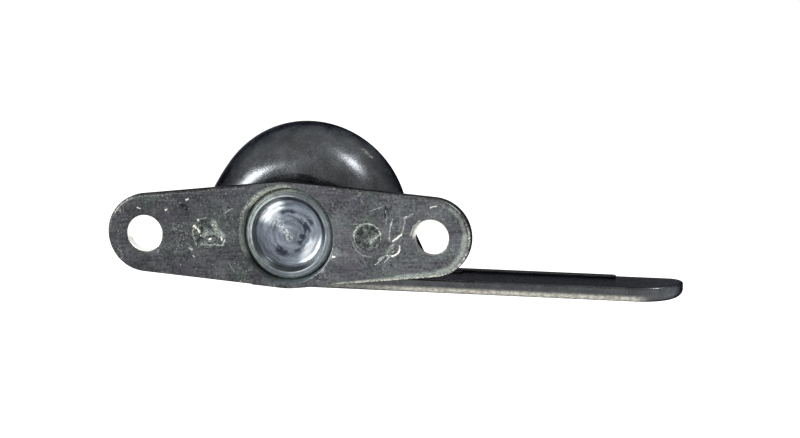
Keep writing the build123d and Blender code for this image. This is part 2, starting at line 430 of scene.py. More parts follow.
BARE_MARKS = (
    (0.32, 0.75, ((20.0, 0.4), (18.5, -0.7))),
    (0.32, 0.7, ((19.6, -1.4), (19.7, -2.0), (19.4, -2.7), (18.3, -3.2))),
    (0.25, 0.6, ((14.8, -0.7), (16.5, 0.6))),
    (0.32, 0.6, ((25.0, 5.1), (26.1, 5.4))),
    (0.55, 0.6, ((-15.4, 2.4),)),
    (0.6, 0.9, ((-16.1, 1.3), (-15.9, 1.0))),
    (0.6, 0.95, ((-15.5, 0.7), (-15.3, 0.3))),
    (0.4, 0.7, ((-15.1, -0.3),)),
    (0.5, 0.8, ((-11.4, -0.6), (-11.3, -0.9))),
    (0.45, 0.7, ((-13.7, -0.9), (-13.3, -0.8))),
    (0.5, 0.6, ((-17.4, 5.8), (-17.1, 5.95))),
    (0.4, 0.5, ((-21.2, 4.0), (-20.9, 4.2))),
    (0.5, 0.4, ((-17.1, -2.5), (-16.7, -2.7))),
    (0.4, 0.45, ((-16.5, -3.7), (-16.3, -3.9))),
    (0.35, 0.5, ((-26.2, 4.4), (-25.7, 4.2))),
    (0.45, 0.45, ((8.0, -3.5), (8.4, -3.5))),
)
MARKS = tuple(
    Mark(tone, *row)
    for tone, rows in ((Tone.DEEP, DEEP_MARKS), (Tone.PALE, PALE_MARKS), (Tone.BARE, BARE_MARKS))
    for row in rows
)


@dataclass(frozen=True)
class WornFace:
    """Marks, wisps and flecks on the mounting face, the same on the plate and on the pins' ends."""

    marks: Sequence[Mark] = MARKS
    shake_size_mm: float = 0.55
    shake_mm: float = 0.16
    fade_in: Range = (0.75, 0.4)
    crumbling: Sequence[tuple[Tone, float, float]] = (
        (Tone.DEEP, 0.36, 0.6),
        (Tone.PALE, 0.38, 0.56),
        (Tone.BARE, 0.3, 0.5),
    )
    scuffs: Sequence[Point] = ((18.8, 0.8), (18.0, -3.4), (-18.4, 0.4), (-18.0, -2.6), (26.8, 3.0))
    scuff_mm: float = 5.5
    wisp: Range = (0.494, 0.506)

    def draw(self, graph: Graph, colour: Socket) -> tuple[Socket, Socket]:
        """Lays the marks over a finish.

        Args:
            graph: Tree that takes the nodes.
            colour: Colour of the steel.

        Returns:
            The marked colour and the raised part of the marks.
        """
        flat = graph.wobbled(self.shake_size_mm, self.shake_mm)
        back = graph.span(graph.y, *self.fade_in)
        crumbs = graph.noise(0.28, rough=0.7)
        raised = None
        for tone, low, high in self.crumbling:
            lines = [
                graph.product(graph.stroke(flat, mark.points, mark.width_mm), mark.strength)
                for mark in self.marks
                if mark.tone is tone
            ]
            mask = graph.product(graph.either(*lines), graph.span(crumbs, low, high, 0.15, 1.0), back)
            colour = graph.blend(mask, colour, tone.value)
            if tone is not Tone.DEEP:
                raised = mask if raised is None else graph.either(raised, mask)
        swirl = graph.noise(1.5, rough=0.6, drag=0.6)
        patches = graph.product(graph.span(graph.noise(4.0, detail=2.0, rough=0.5), 0.46, 0.6), 0.8)
        scuffed = [graph.stroke(flat, (spot,), self.scuff_mm) for spot in self.scuffs]
        wisps = graph.product(graph.band(swirl, *self.wisp, 0.01), graph.span(crumbs, 0.36, 0.58), 0.75)
        wisps = graph.product(wisps, graph.either(patches, *scuffed), back)
        colour = graph.blend(wisps, colour, Tone.PALE.value)
        flecks = graph.span(graph.noise(0.34, detail=2.0, rough=0.5), 0.655, 0.76)
        flecks = graph.product(flecks, graph.span(swirl, 0.44, 0.6, 0.12, 1.0), back, 0.5)
        return graph.blend(flecks, colour, Tone.BARE.value), raised


@dataclass
class PlateSteel(Graph):
    """Old blacked steel: mottled, streaked along the plate, scuffed and worn bare along its edges, with
    painted highlights on those edges and at the recess's opening, painted light and shade on the recess's
    wall, and painted shading across the plate.
    """

    name: str = "plate_steel"
    dark: Colour = (0.025, 0.0258, 0.029)
    light: Colour = (0.082, 0.085, 0.091)
    green: Colour = (0.056, 0.07, 0.064)
    violet: Colour = (0.056, 0.05, 0.064)
    pit: Colour = (0.008, 0.008, 0.01)
    bright: Colour = (0.93, 0.93, 0.9)
    wall: Colour = (0.088, 0.117, 0.126)
    wall_painted_shade: Colour = (0.04, 0.048, 0.05)
    wall_left_painted_light: Colour = (0.27, 0.31, 0.285)
    wall_lit: Colour = (0.93, 0.96, 0.82)
    grazing: Colour = (0.2, 0.2, 0.2)
    roughness: Range = (0.3, 0.44)
    bump_mm: float = 0.05
    recess_radius: float = 8.25
    recess_end: Range = (4.6, 4.0)
    recess_metal: float = 0.1
    hole_x: float = 25.0
    hole_radius: float = 3.0

    def material(self) -> bpy.types.Material:
        """Builds the finish.

        Returns:
            The finished material.
        """
        blotch = self.noise(3.6, detail=4.0, rough=0.6, stretch=(1.6, 1.0, 1.0), drag=0.8)
        grain = self.noise(0.5, rough=0.65)
        in_recess = self.recess_wall()
        colour = self.blend(in_recess, self.face_colour(blotch, grain), self.wall_colour(grain))
        metal = self.span(in_recess, 0.0, 1.0, self.metal, self.recess_metal)
        self.feed(self.shader.inputs["Metallic"], metal)
        colour, raised = WornFace().draw(self, colour)
        colour = self.worn_places(colour)
        pits = self.span(self.cells(0.8), 0.17, 0.05)
        pits = self.product(pits, self.span(self.noise(1.7, detail=2.0), 0.48, 0.58), 0.85)
        colour = self.blend(pits, colour, self.pit)
        height = self.total((blotch, 0.5), (grain, 0.5), (raised, 0.5), (pits, -0.5))
        grazing = self.blend(self.either(self.hole_wall(), in_recess), self.grazing, WHITE)
        return self.finish(colour, self.vary(grain, *self.roughness), height, self.bump_mm, grazing)

    def face_colour(self, blotch: Socket, grain: Socket) -> Socket:
        """Mottled colour of the flat steel, with painted shading that makes it darker towards the left end
        and lighter towards the right.

        Args:
            blotch: Coarse pattern of the steel.
            grain: Fine pattern of the steel.

        Returns:
            The colour.
        """
        streak = self.noise(0.4, stretch=(9.0, 1.0, 1.0))
        tone = self.total((streak, 0.26), (grain, 0.4), (blotch, 0.34))
        colour = self.blend(self.span(tone, 0.38, 0.63), self.dark, self.light)
        hue = self.noise(4.5, rough=0.6)
        colour = self.blend(self.span(hue, 0.52, 0.68, 0.0, 0.55), colour, self.green)
        colour = self.blend(self.span(hue, 0.47, 0.34, 0.0, 0.5), colour, self.violet)
        # Painted shading: the steel is darkened towards the left end and lightened towards the right,
        # standing in for how the light falls.
        return self.shade(colour, self.span(self.x, -30.0, 20.0, 0.6, 1.1))

    def recess_wall(self) -> Socket:
        """Mask of the recess's wall behind the boss, which gets a dull colour of its own."""
        inside = self.span(self.radius(), self.recess_radius + 0.15, self.recess_radius - 0.2)
        return self.product(inside, self.span(self.y, *self.recess_end), 0.9)

    def wall_colour(self, grain: Socket) -> Socket:
        """Colour of the recess's wall, with painted light and shade: pale and with a painted highlight along
        its top left, painted shade at its lower left and upper right.

        Args:
            grain: Fine pattern of the steel.

        Returns:
            The colour.
        """
        colour = self.wall
        # Painted shade at the lower left and upper right, and pale painted light at the left.
        for degrees, low, high, tint in (
            (228.0, 0.78, 0.97, self.wall_painted_shade),
            (178.0, 0.8, 0.96, self.wall_left_painted_light),
            (40.0, 0.9, 0.98, self.wall_painted_shade),
        ):
            colour = self.blend(self.toward(degrees, low, high), colour, tint)
        # Painted highlight along the top left of the wall, broken into crumbs.
        crumbs = self.span(self.noise(0.5, rough=0.7), 0.36, 0.58, 0.55, 1.0)
        lit = self.product(self.toward(114.0, 0.8, 0.93), crumbs)
        return self.shade(self.blend(lit, colour, self.wall_lit), self.vary(grain, 0.6, 1.35))

    def worn_places(self, colour: Socket) -> Socket:
        """Paints a highlight along the top left of the recess's opening, wears the plate's edge bare under a
        painted highlight, and rubs the walls of the screw holes.

        Args:
            colour: Colour of the plate.

        Returns:
            The colour with its wear and painted highlights.
        """
        crumbs = self.span(self.noise(0.34, rough=0.7), 0.42, 0.64)
        # Painted highlight along the top left of the recess's opening.
        mouth_highlight = self.band(self.radius(), self.recess_radius - 0.2, self.recess_radius + 0.4, 0.12)
        mouth_highlight = self.product(mouth_highlight, self.toward(122.0, 0.66, 0.9), self.span(self.y, 1.0, 0.6), crumbs, 0.85)
        colour = self.blend(mouth_highlight, colour, Tone.PALE.value)
        # The rounded edge is partly worn bare and partly a painted highlight where it faces the light.
        colour = self.blend(self.product(self.edge_wear_and_highlight(), crumbs), colour, Tone.BARE.value)
        # The left hole is rubbed all round, the right one above its middle only.
        lifted = self.number("ADD", self.z, self.span(self.x, 0.0, 1.0, 6.0, 0.0))
        patches = self.span(self.noise(0.8, rough=0.6), 0.3, 0.5, 0.6, 1.0)
        rubbed = self.product(self.hole_wall(), self.span(lifted, -0.4, 0.5), patches)
        tint = self.blend(self.span(self.x, 0.0, 1.0), self.bright, Tone.BARE.value)
        return self.blend(rubbed, colour, tint)

    def edge_wear_and_highlight(self) -> Socket:
        """Mask of the rounded edge round the mounting face, worn bare and given a painted highlight, most at
        its right end and below it.

        Returns:
            The mask.
        """
        turned = self.band(self.facing_y, -0.93, -0.35, 0.1)
        near_back = self.span(self.y, 0.8, 0.5)
        outside = self.span(self.radius(), self.recess_radius, self.recess_radius + 0.5)
        below = self.product(self.span(self.facing_z, 0.0, -0.3), self.span(self.x, 2.0, 14.0))
        end = self.product(self.span(self.facing_x, 0.1, 0.5), self.span(self.facing_z, 0.45, 0.0))
        left = self.product(self.span(self.facing_z, 0.2, 0.5), self.span(self.x, -24.0, -30.0), 0.7)
        return self.product(turned, near_back, outside, self.either(below, end, left, 0.12), 0.9)

    def hole_wall(self) -> Socket:
        """Mask of the screw holes' walls, where the screws have rubbed them.

        Returns:
            The mask.
        """
        edge = (self.hole_radius + 0.25, self.hole_radius + 0.1)
        walls = [self.span(self.radius(side * self.hole_x), *edge) for side in (-1.0, 1.0)]
        return self.product(self.either(*walls), self.span(self.facing_y, -0.97, -0.85))


@dataclass
class PinSteel(Graph):
    """Hammered ends of the pins: dark, rough, with bare crumbs and one pale ring."""

    name: str = "pin_steel"
    pin_x: float = 14.1
    ring_z: float = -0.2
    ring_radii: Range = (2.28, 2.5)
    dark: Colour = (0.014, 0.0165, 0.0165)
    light: Colour = (0.112, 0.124, 0.118)
    grazing: Colour = (0.2, 0.2, 0.2)
    roughness: Range = (0.35, 0.55)
    bump_mm: float = 0.15

    def material(self) -> bpy.types.Material:
        """Builds the finish.

        Returns:
            The finished material.
        """
        rough = self.noise(0.9, detail=4.0, rough=0.7, drag=0.6)
        grain = self.noise(0.3, rough=0.6)
        tone = self.total((grain, 0.4), (rough, 0.6))
        colour = self.blend(self.span(tone, 0.4, 0.66), self.dark, self.light)
        away = self.vector("DISTANCE", self.wobbled(0.9, 0.12), (self.pin_x, 0.0, self.ring_z))
        broken = self.span(grain, 0.36, 0.56, 0.3, 1.0)
        ring = self.product(self.band(away, *self.ring_radii, 0.1), broken, self.span(self.y, 1.0, 0.6), 0.9)
        colour = self.blend(ring, colour, Tone.PALE.value)
        colour, raised = WornFace().draw(self, colour)
        height = self.total((rough, 1.0), (raised, 0.5))
        return self.finish(colour, self.vary(grain, *self.roughness), height, self.bump_mm, self.grazing)


@dataclass(frozen=True)
class Arc:
    """Part of a ring about the pivot's axis, with radii in millimetres and directions in degrees."""

    low: float
    high: float
    start: float
    end: float
    share: float


# Painted highlights: the light reflected in the dish's top left and lower right.
PAINTED_HIGHLIGHT_ARCS = (
    Arc(4.2, 6.5, 95.0, 165.0, 1.0),
    Arc(3.0, 4.5, 112.0, 165.0, 0.4),
    Arc(4.1, 6.6, -80.0, 4.0, 0.28),
    Arc(3.2, 4.6, -66.0, -8.0, 0.4),
)
DARK_ARCS = (
    Arc(1.5, 2.8, -66.0, 12.0, 1.0),
    Arc(2.1, 3.7, -6.0, 72.0, 1.0),
    Arc(3.5, 4.6, 12.0, 54.0, 0.9),
    Arc(3.0, 4.2, 68.0, 122.0, 0.95),
    Arc(2.8, 4.4, -142.0, -94.0, 1.0),
    Arc(2.7, 3.6, -82.0, -52.0, 0.8),
)
CENTRE_STREAK = ((-2.5, 2.2), (-1.5, 1.1), (-0.2, -0.6))


@dataclass
class RivetSteel(Graph):
    """Spun end of the rivet: bright turned dish with painted highlight arcs, dark groove with a painted
    shadow, pale rim with painted shade, and a flank painted pale in place of light.
    """

    name: str = "rivet_steel"
    dish_radius: float = 5.95
    rim_inner: float = 6.45
    rim_outer: float = 7.3
    room_side: float = 4.4
    ring_turns: float = 18.0
    streak_mm: float = 2.0
    arc_inset: float = 0.2
    arc_soft: float = 0.28
    dish: Colour = (0.145, 0.165, 0.192)
    dish_dark: Colour = (0.055, 0.065, 0.08)
    # Bright steel, also used for the painted highlight arcs in the dish.
    bright: Colour = (0.74, 0.78, 0.8)
    cream: Colour = (0.6, 0.61, 0.58)
    rim: Colour = (0.235, 0.27, 0.247)
    rim_painted_shade: Colour = (0.122, 0.142, 0.154)
    rim_dark: Colour = (0.07, 0.082, 0.09)
    groove: Colour = (0.135, 0.16, 0.165)
    # Pale colour painted on the shaded flank in place of light.
    flank: Colour = (0.3, 0.33, 0.31)
    head: Colour = (0.062, 0.065, 0.069)
    # Dark stains in the dish, also used for the painted shadow in the groove.
    stain_and_shadow: Colour = (0.02, 0.023, 0.032)
    grazing: Colour = (0.9, 0.9, 0.9)
    roughness: Range = (0.24, 0.38)
    bump_mm: float = 0.03
    flank_metal: float = 0.15

    def material(self) -> bpy.types.Material:
        """Builds the finish.

        Returns:
            The finished material.
        """
        flat = self.wobbled(1.4, 0.35)
        swept = self.turning(flat)
        grain = self.noise(0.35, rough=0.6)
        radius = self.radius()
        colour = self.dish_colour(flat, swept, grain)
        in_groove = self.span(radius, self.dish_radius - 0.12, self.dish_radius + 0.08)
        # The groove's colour gives way at the top left and lower right, so that the painted highlight arcs
        # run on over it.
        for degrees, share in ((135.0, 0.45), (-38.0, 0.2)):
            in_groove = self.product(in_groove, self.fall(degrees, 0.75, 0.97, share))
        # Painted shadow in the groove towards the upper right.
        shaded = self.product(self.toward(33.0, 0.86, 0.97), 0.85)
        colour = self.blend(in_groove, colour, self.blend(shaded, self.groove, self.stain_and_shadow))
        on_rim = self.span(radius, self.rim_inner - 0.12, self.rim_inner + 0.04)
        colour = self.blend(on_rim, colour, self.rim_colour(radius, swept, grain))
        # The flank between rim and recess wall is painted pale, standing in for light that its shaded gap
        # does not get.
        on_flank = self.span(radius, self.rim_outer - 0.02, self.rim_outer + 0.06)
        colour = self.blend(on_flank, colour, self.shade(self.flank, self.vary(grain, 0.6, 1.3)))
        room = self.span(self.y, self.room_side - 0.2, self.room_side + 0.2)
        worn = self.total((grain, 0.4), (self.noise(2.4, detail=4.0, rough=0.65), 0.6))
        colour = self.blend(room, colour, self.shade(self.head, self.span(worn, 0.36, 0.64, 0.6, 1.5)))
        # Where the flank is painted pale it is also made mostly non-metal.
        flank_painted_light = self.product(on_flank, self.span(room, 1.0, 0.0))
        self.feed(self.shader.inputs["Metallic"], self.span(flank_painted_light, 0.0, 1.0, self.metal, self.flank_metal))
        roughness = self.span(swept, 0.3, 0.7, *self.roughness)
        height = self.total((grain, 0.4), (swept, 0.6))
        return self.finish(colour, roughness, height, self.bump_mm, self.grazing)

    def fall(self, degrees: float, low: float, high: float, share: float) -> Socket:
        """Factor of 1 that falls to a share in one direction from the pivot's axis, as toward has it."""
        return self.span(self.toward(degrees, low, high), 0.0, 1.0, 1.0, share)

    def dish_colour(self, flat: Socket, swept: Socket, grain: Socket) -> Socket:
        """Colour of the dish, with its painted highlight arcs, stains and the streak at its centre.

        Args:
            flat: Shaken place across the mounting face.
            swept: Streaks of the tool.
            grain: Fine pattern of the steel.

        Returns:
            The colour.
        """
        tone = self.total((grain, 0.2), (swept, 0.8))
        colour = self.blend(self.span(tone, 0.34, 0.66), self.dish_dark, self.dish)
        streaks = self.span(swept, 0.32, 0.56, 0.25, 1.0)
        ragged = self.total((self.noise(0.8, rough=0.65, drag=0.6), 1.0), (swept, -0.55))
        ragged = self.span(ragged, 0.1, 0.22)
        # Painted highlight arcs in bright steel, then dark stain arcs.
        for arcs, broken, tint in ((PAINTED_HIGHLIGHT_ARCS, streaks, self.bright), (DARK_ARCS, ragged, self.stain_and_shadow)):
            for arc in arcs:
                colour = self.blend(self.product(self.arc(flat, arc), broken), colour, tint)
        broken = self.span(self.noise(0.45, rough=0.7), 0.42, 0.62)
        line = self.product(self.stroke(flat, CENTRE_STREAK, self.streak_mm), broken, 0.42)
        return self.blend(line, colour, self.cream)

    def rim_colour(self, radius: Socket, swept: Socket, grain: Socket) -> Socket:
        """Colour of the rim in fine rings, greenest and palest at its left, with painted shade towards its
        right, lower left and top, and a thin bright inner edge.

        Args:
            radius: Distance from the pivot's axis.
            swept: Streaks of the tool.
            grain: Fine pattern of the steel.

        Returns:
            The colour.
        """
        rings = self.span(self.number("SINE", self.product(radius, self.ring_turns)), -1.0, 1.0)
        mottle = self.total((grain, 0.3), (self.noise(1.3, rough=0.6), 0.5), (rings, 0.2))
        # Painted light and shade: the rim is pale at its left and darker towards its right.
        pale = self.blend(self.toward(160.0, 0.1, 0.85), self.rim_painted_shade, self.rim)
        colour = self.blend(self.span(mottle, 0.36, 0.6), self.rim_dark, pale)
        # Painted shade towards the lower left and the top.
        for degrees, share in ((225.0, 0.62), (72.0, 0.7)):
            colour = self.shade(colour, self.fall(degrees, 0.6, 0.95, share))
        edge = self.band(radius, self.rim_inner - 0.02, self.rim_inner + 0.16, 0.06)
        return self.blend(self.product(edge, self.span(swept, 0.4, 0.6), 0.35), colour, self.bright)

    def turning(self, flat: Socket) -> Socket:
        """Long curved streaks left by the tool that spun the dish.

        Args:
            flat: Shaken place across the mounting face.

        Returns:
            Their pattern, from 0 to 1.
        """
        outward = self.product(self.vector("LENGTH", flat), 1.5)
        around = self.vector("SCALE", self.vector("NORMALIZE", flat), scale=0.9)
        swept = self.vector("ADD", around, self.vector("SCALE", (0.0, 1.0, 0.0), scale=outward))
        return self.texture("Noise", swept, "Fac", Scale=1.0, Detail=4.0, Roughness=0.62)

    def arc(self, flat: Socket, arc: Arc) -> Socket:
        """Mask of an arc about the pivot's axis.

        Args:
            flat: Shaken place across the mounting face.
            arc: The arc.

        Returns:
            The mask, at the arc's share.
        """
        part_x, _, part_z = self.axes(flat)
        angle = self.number("ARCTAN2", part_z, part_x)
        half = math.radians(0.5 * (arc.end - arc.start))
        middle = math.radians(0.5 * (arc.end + arc.start))
        turn = self.number("WRAP", self.number("SUBTRACT", angle, middle), math.pi, -math.pi)
        along = self.span(self.number("ABSOLUTE", turn), half, 0.45 * half)
        radii = (arc.low + self.arc_inset, arc.high - self.arc_inset)
        across = self.band(self.vector("LENGTH", flat), *radii, self.arc_soft)
        return self.product(along, across, arc.share)


@dataclass
class LeverSteel(Graph):
    """Smooth blacked steel with a soft gloss, worn bare along the strip's lower edge where a highlight is
    also painted, and with painted shading that lightens the crescent's top and the strip's tip.
    """

    name: str = "lever_steel"
    dark: Colour = (0.042, 0.0445, 0.047)
    light: Colour = (0.078, 0.082, 0.087)
    bare: Colour = (0.41, 0.4, 0.35)
    grazing: Colour = (0.22, 0.22, 0.24)
    roughness: Range = (0.22, 0.31)
    bump_mm: float = 0.03
    strip_start: float = 9.0
    strip_worn: float = 14.0
    strip_top: Range = (-8.0, -9.5)
    tip_start: float = 57.0
    scratch: tuple[Point, ...] = ((10.5, 13.2), (12.3, 11.6))
    scratch_mm: float = 0.3

    def material(self) -> bpy.types.Material:
        """Builds the finish.

        Returns:
            The finished material.
        """
        blotch = self.noise(3.2, detail=4.0, rough=0.6)
        grain = self.noise(0.3, rough=0.65)
        tone = self.total((grain, 0.45), (blotch, 0.55))
        colour = self.blend(self.span(tone, 0.36, 0.64), self.dark, self.light)
        # Painted shading: the strip's tip is lightened, standing in for the sheen on its rounded end.
        colour = self.shade(colour, self.span(self.x, self.tip_start, self.tip_start + 6.0, 1.0, 1.6))
        # Painted shading: the lever is darker low down and lighter towards the crescent's top, as the light
        # falls on it.
        colour = self.shade(colour, self.span(self.z, 7.0, 13.5, 0.76, 1.32))
        line = self.stroke(self.wobbled(0.9, 0.15), self.scratch, self.scratch_mm)
        line = self.product(line, self.span(self.facing_y, 0.2, -0.1), self.span(grain, 0.4, 0.55), 0.6)
        flecks = self.product(self.span(self.noise(0.3, detail=2.0, rough=0.5), 0.7, 0.76), 0.3)
        # The lower edge's bare colour is partly wear and partly a painted highlight.
        colour = self.blend(self.either(self.edge_wear_and_highlight(), line, flecks), colour, self.bare)
        height = self.total((blotch, 0.4), (grain, 0.6))
        return self.finish(colour, self.vary(tone, *self.roughness), height, self.bump_mm, self.grazing)

    def edge_wear_and_highlight(self) -> Socket:
        """Mask of the strip's rounded lower edge, where the finish has rubbed through to bare steel and a
        highlight of the floor's reflection is painted as well.

        Returns:
            The mask.
        """
        start = self.span(self.x, self.strip_start, self.strip_start + self.strip_worn, 0.3, 1.0)
        along = self.product(start, self.span(self.x, self.tip_start + 4.0, self.tip_start + 0.5))
        below = self.span(self.z, *self.strip_top)
        under = self.span(self.facing_z, -0.03, -0.5)
        rounded = self.span(self.facing_y, -0.08, -0.3)
        crumbs = self.span(self.noise(0.4, rough=0.75, stretch=(1.6, 1.0, 1.0)), 0.34, 0.62, 0.4, 1.0)
        return self.product(along, below, under, rounded, crumbs)


@dataclass
class WasherSteel(Graph):
    """Plain washer steel, dulled, with rings from rubbing."""

    dark: Colour = (0.09, 0.09, 0.088)
    light: Colour = (0.26, 0.26, 0.25)
    grazing: Colour = (0.3, 0.3, 0.3)
    roughness: Range = (0.28, 0.45)
    bump_mm: float = 0.02

    def material(self) -> bpy.types.Material:
        """Builds the finish.

        Returns:
            The finished material.
        """
        rings = self.nodes.new("ShaderNodeTexNoise")
        rings.noise_dimensions = "1D"
        rings.inputs["Scale"].default_value = 3.0
        rings.inputs["Detail"].default_value = 3.0
        self.links.new(self.radius(), rings.inputs["W"])
        grain = self.noise(0.5, detail=4.0, rough=0.6)
        tone = self.total((grain, 0.5), (rings.outputs["Fac"], 0.5))
        colour = self.blend(self.span(tone, 0.36, 0.62), self.dark, self.light)
        return self.finish(colour, self.vary(grain, *self.roughness), tone, self.bump_mm, self.grazing)


class Mould:
    """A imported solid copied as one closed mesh, and reshaped in edit mode."""

    def __init__(self, node: bpy.types.Object, name: str) -> None:
        """Copies a solid and joins its loose triangles.

        Args:
            node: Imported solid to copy.
            name: Name of the copy.
        """
        self.piece = bpy.data.objects.new(name, node.data.copy())
        bpy.context.scene.collection.objects.link(self.piece)
        self.take()
        self.edit(lambda: bpy.ops.mesh.remove_doubles(threshold=WELD), everything=True)
        self.edit(bpy.ops.mesh.customdata_custom_splitnormals_clear, everything=True)

    def take(self) -> None:
        """Makes the piece the only one selected."""
        bpy.ops.object.select_all(action="DESELECT")
        bpy.context.view_layer.objects.active = self.piece
        self.piece.select_set(True)

    def edit(self, action: Callable[[], object], everything: bool = False) -> None:
        """Runs one operator in edit mode on what is selected.

        Args:
            action: Operator to run.
            everything: Selects the whole mesh first.
        """
        bpy.ops.object.mode_set(mode="EDIT")
        if everything:
            bpy.ops.mesh.select_all(action="SELECT")
        action()
        bpy.ops.object.mode_set(mode="OBJECT")

    def choose(self, test: Callable[[Vector, Vector], bool]) -> None:
        """Selects faces by their place and direction.

        Args:
            test: True for the centre in millimetres and the normal of a face to select.
        """
        bpy.ops.object.mode_set(mode="EDIT")
        bpy.ops.mesh.select_mode(type="FACE")
        bpy.ops.mesh.select_all(action="DESELECT")
        bpy.ops.object.mode_set(mode="OBJECT")
        for face in self.piece.data.polygons:
            face.select = test(face.center / MM, face.normal)

    def press(self, inside: Callable[[Vector], float], height: Callable[[Vector], float]) -> None:
        """Moves vertices along the depth.

        Args:
            inside: Share of the height that a vertex takes at a place in millimetres.
            height: Depth to add there in millimetres.
        """
        for vertex in self.piece.data.vertices:
            place = vertex.co / MM
            share = inside(place)
            if share > 0.0:
                vertex.co.y += share * height(place) * MM

    def join(self, other: bpy.types.Object) -> None:
        """Joins another object into the piece and bridges the two open borders.

        Args:
            other: Object with one open border inside the piece's own.
        """
        self.take()
        other.select_set(True)
        bpy.ops.object.join()
        bpy.ops.object.mode_set(mode="EDIT")
        bpy.ops.mesh.select_mode(type="EDGE")
        bpy.ops.mesh.select_all(action="DESELECT")
        bpy.ops.mesh.select_non_manifold(
            use_wire=False, use_multi_face=False, use_non_contiguous=False, use_verts=False
        )
        bpy.ops.mesh.bridge_edge_loops()
        bpy.ops.object.mode_set(mode="OBJECT")

    def settle(self, node: Node, body: str) -> bpy.types.Object:
        """Smooths the piece and puts it in the solid's place.

        Args:
            node: Solid that it stands for.
            body: Body that it rides on.

        Returns:
            The finished piece.
        """
        self.take()
        bpy.ops.object.shade_smooth_by_angle(angle=SMOOTH_ANGLE)
        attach(self.piece, body)
        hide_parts(node.value)
        log.info("%s: %d faces", self.piece.name, len(self.piece.data.polygons))
        return self.piece


@dataclass(frozen=True)
class Relief:
    """Ridges and dents of the marks, with a fine unevenness of the steel."""

    marks: Sequence[Mark] = MARKS
    ridge_mm: float = 0.07
    ridge_width_mm: float = 0.6
    dent_mm: float = 0.09
    steepness: float = 1.6
    shake_mm: float = 0.16
    shakes_per_mm: float = 1.8
    uneven_mm: float = 0.018
    uneven_size_mm: float = 0.5

    def height(self, place: Vector) -> float:
        """Depth of the worn face at one place.

        Args:
            place: Place in millimetres.

        Returns:
            How far the face lies below the plate's own, in millimetres.
        """
        flat = Vector((place.x, 0.0, place.z))
        shaken = place + self.shake_mm * noise.noise_vector(flat * self.shakes_per_mm)
        depth = self.uneven_mm * noise.noise(flat / self.uneven_size_mm)
        for mark in self.marks:
            share = 1.0 - 2.0 * self.distance(mark.points, shaken) / mark.width_mm
            if share > 0.0:
                share = mark.strength * min(1.0, self.steepness * share)
                ridge = -self.ridge_mm * min(1.0, self.ridge_width_mm / mark.width_mm)
                depth += share * (self.dent_mm if mark.tone is Tone.DEEP else ridge)
        return depth

    def distance(self, points: Sequence[Point], place: Vector) -> float:
        """Distance from a line on the face.

        Args:
            points: Corners of the line, along X and Z.
            place: Place in millimetres.

        Returns:
            The distance in millimetres.
        """
        flat = Vector((place.x, place.z))
        corners = [Vector(point) for point in points]
        nearest = min((flat - corner).length for corner in corners)
        for start, end in zip(corners, corners[1:]):
            run = end - start
            along = min(1.0, max(0.0, (flat - start).dot(run) / run.length_squared))
            nearest = min(nearest, (flat - start - along * run).length)
        return nearest


@dataclass(frozen=True)
class Window:
    """Rectangle of the mounting face that gets a fine grid for its relief."""

    low: Point
    high: Point
    step_mm: float = 0.13
    gap_mm: float = 0.25
    fade_mm: float = 0.5
    flat_mm: float = 0.001
    facing_away: float = -0.999

    def holds(self, place: Vector) -> bool:
        """True for a place inside the rectangle."""
        return self.low[0] < place.x < self.high[0] and self.low[1] < place.z < self.high[1]

    def flush(self, centre: Vector, facing: Vector) -> bool:
        """True for a face that lies in the mounting face."""
        return abs(centre.y) < self.flat_mm and facing.y < self.facing_away

    def share(self, place: Vector) -> float:
        """Share of the relief at a place, which fades out towards the grid's border.

        Args:
            place: Place in millimetres.

        Returns:
            The share, from 0 to 1.
        """
        if abs(place.y) > self.flat_mm or not self.holds(place):
            return 0.0
        sideways = min(place.x - self.low[0], self.high[0] - place.x)
        upwards = min(place.z - self.low[1], self.high[1] - place.z)
        return min(1.0, max(0.0, (min(sideways, upwards) - self.gap_mm) / self.fade_mm))

    def open(self, mould: Mould) -> None:
        """Cuts the rectangle out of the flat face and sets a fine grid in its place.

        Args:
            mould: Plate to cut.
        """
        for side, along in ((self.low[0], 0), (self.high[0], 0), (self.low[1], 2), (self.high[1], 2)):
            place, normal = [0.0] * 3, [0.0] * 3
            place[along], normal[along] = side * MM, 1.0
            mould.choose(self.flush)
            mould.edit(lambda: bpy.ops.mesh.bisect(plane_co=place, plane_no=normal, threshold=WELD))
        mould.choose(lambda centre, facing: self.flush(centre, facing) and self.holds(centre))
        mould.edit(lambda: bpy.ops.mesh.delete(type="FACE"))
        mould.join(self.grid(mould.piece.data.materials[0]))

    def grid(self, finish: bpy.types.Material) -> bpy.types.Object:
        """Adds the fine grid.

        Args:
            finish: Material of the plate.

        Returns:
            The grid, facing away from the room.
        """
        width, height = (high - low - 2.0 * self.gap_mm for low, high in zip(self.low, self.high))
        middle = [0.5 * (low + high) * MM for low, high in zip(self.low, self.high)]
        bpy.ops.object.select_all(action="DESELECT")
        bpy.ops.mesh.primitive_grid_add(
            x_subdivisions=round(width / self.step_mm),
            y_subdivisions=round(height / self.step_mm),
            size=MM,
            location=(middle[0], 0.0, middle[1]),
            rotation=(math.radians(90.0), 0.0, 0.0),
        )
        grid = bpy.context.object
        grid.data.materials.append(finish)
        grid.scale = (width, height, 1.0)
        bpy.ops.object.transform_apply(location=True, rotation=True, scale=True)
        return grid


@dataclass(frozen=True)
class SubAssembly:
    """Pieces that share one purpose, each with its finish."""

    title: str

    def finishes(self) -> dict[Node, bpy.types.Material]:
        """Finish of each of its nodes."""
        raise NotImplementedError

    def dress(self, nodes: dict[str, bpy.types.Object]) -> None:
        """Puts each finish in its node's material slots.

        Args:
            nodes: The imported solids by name.
        """
        for node, material in self.finishes().items():
            for slot in nodes[node.value].material_slots:
                slot.material = material
            log.info("%s: %s in %s", self.title, node.value, material.name)


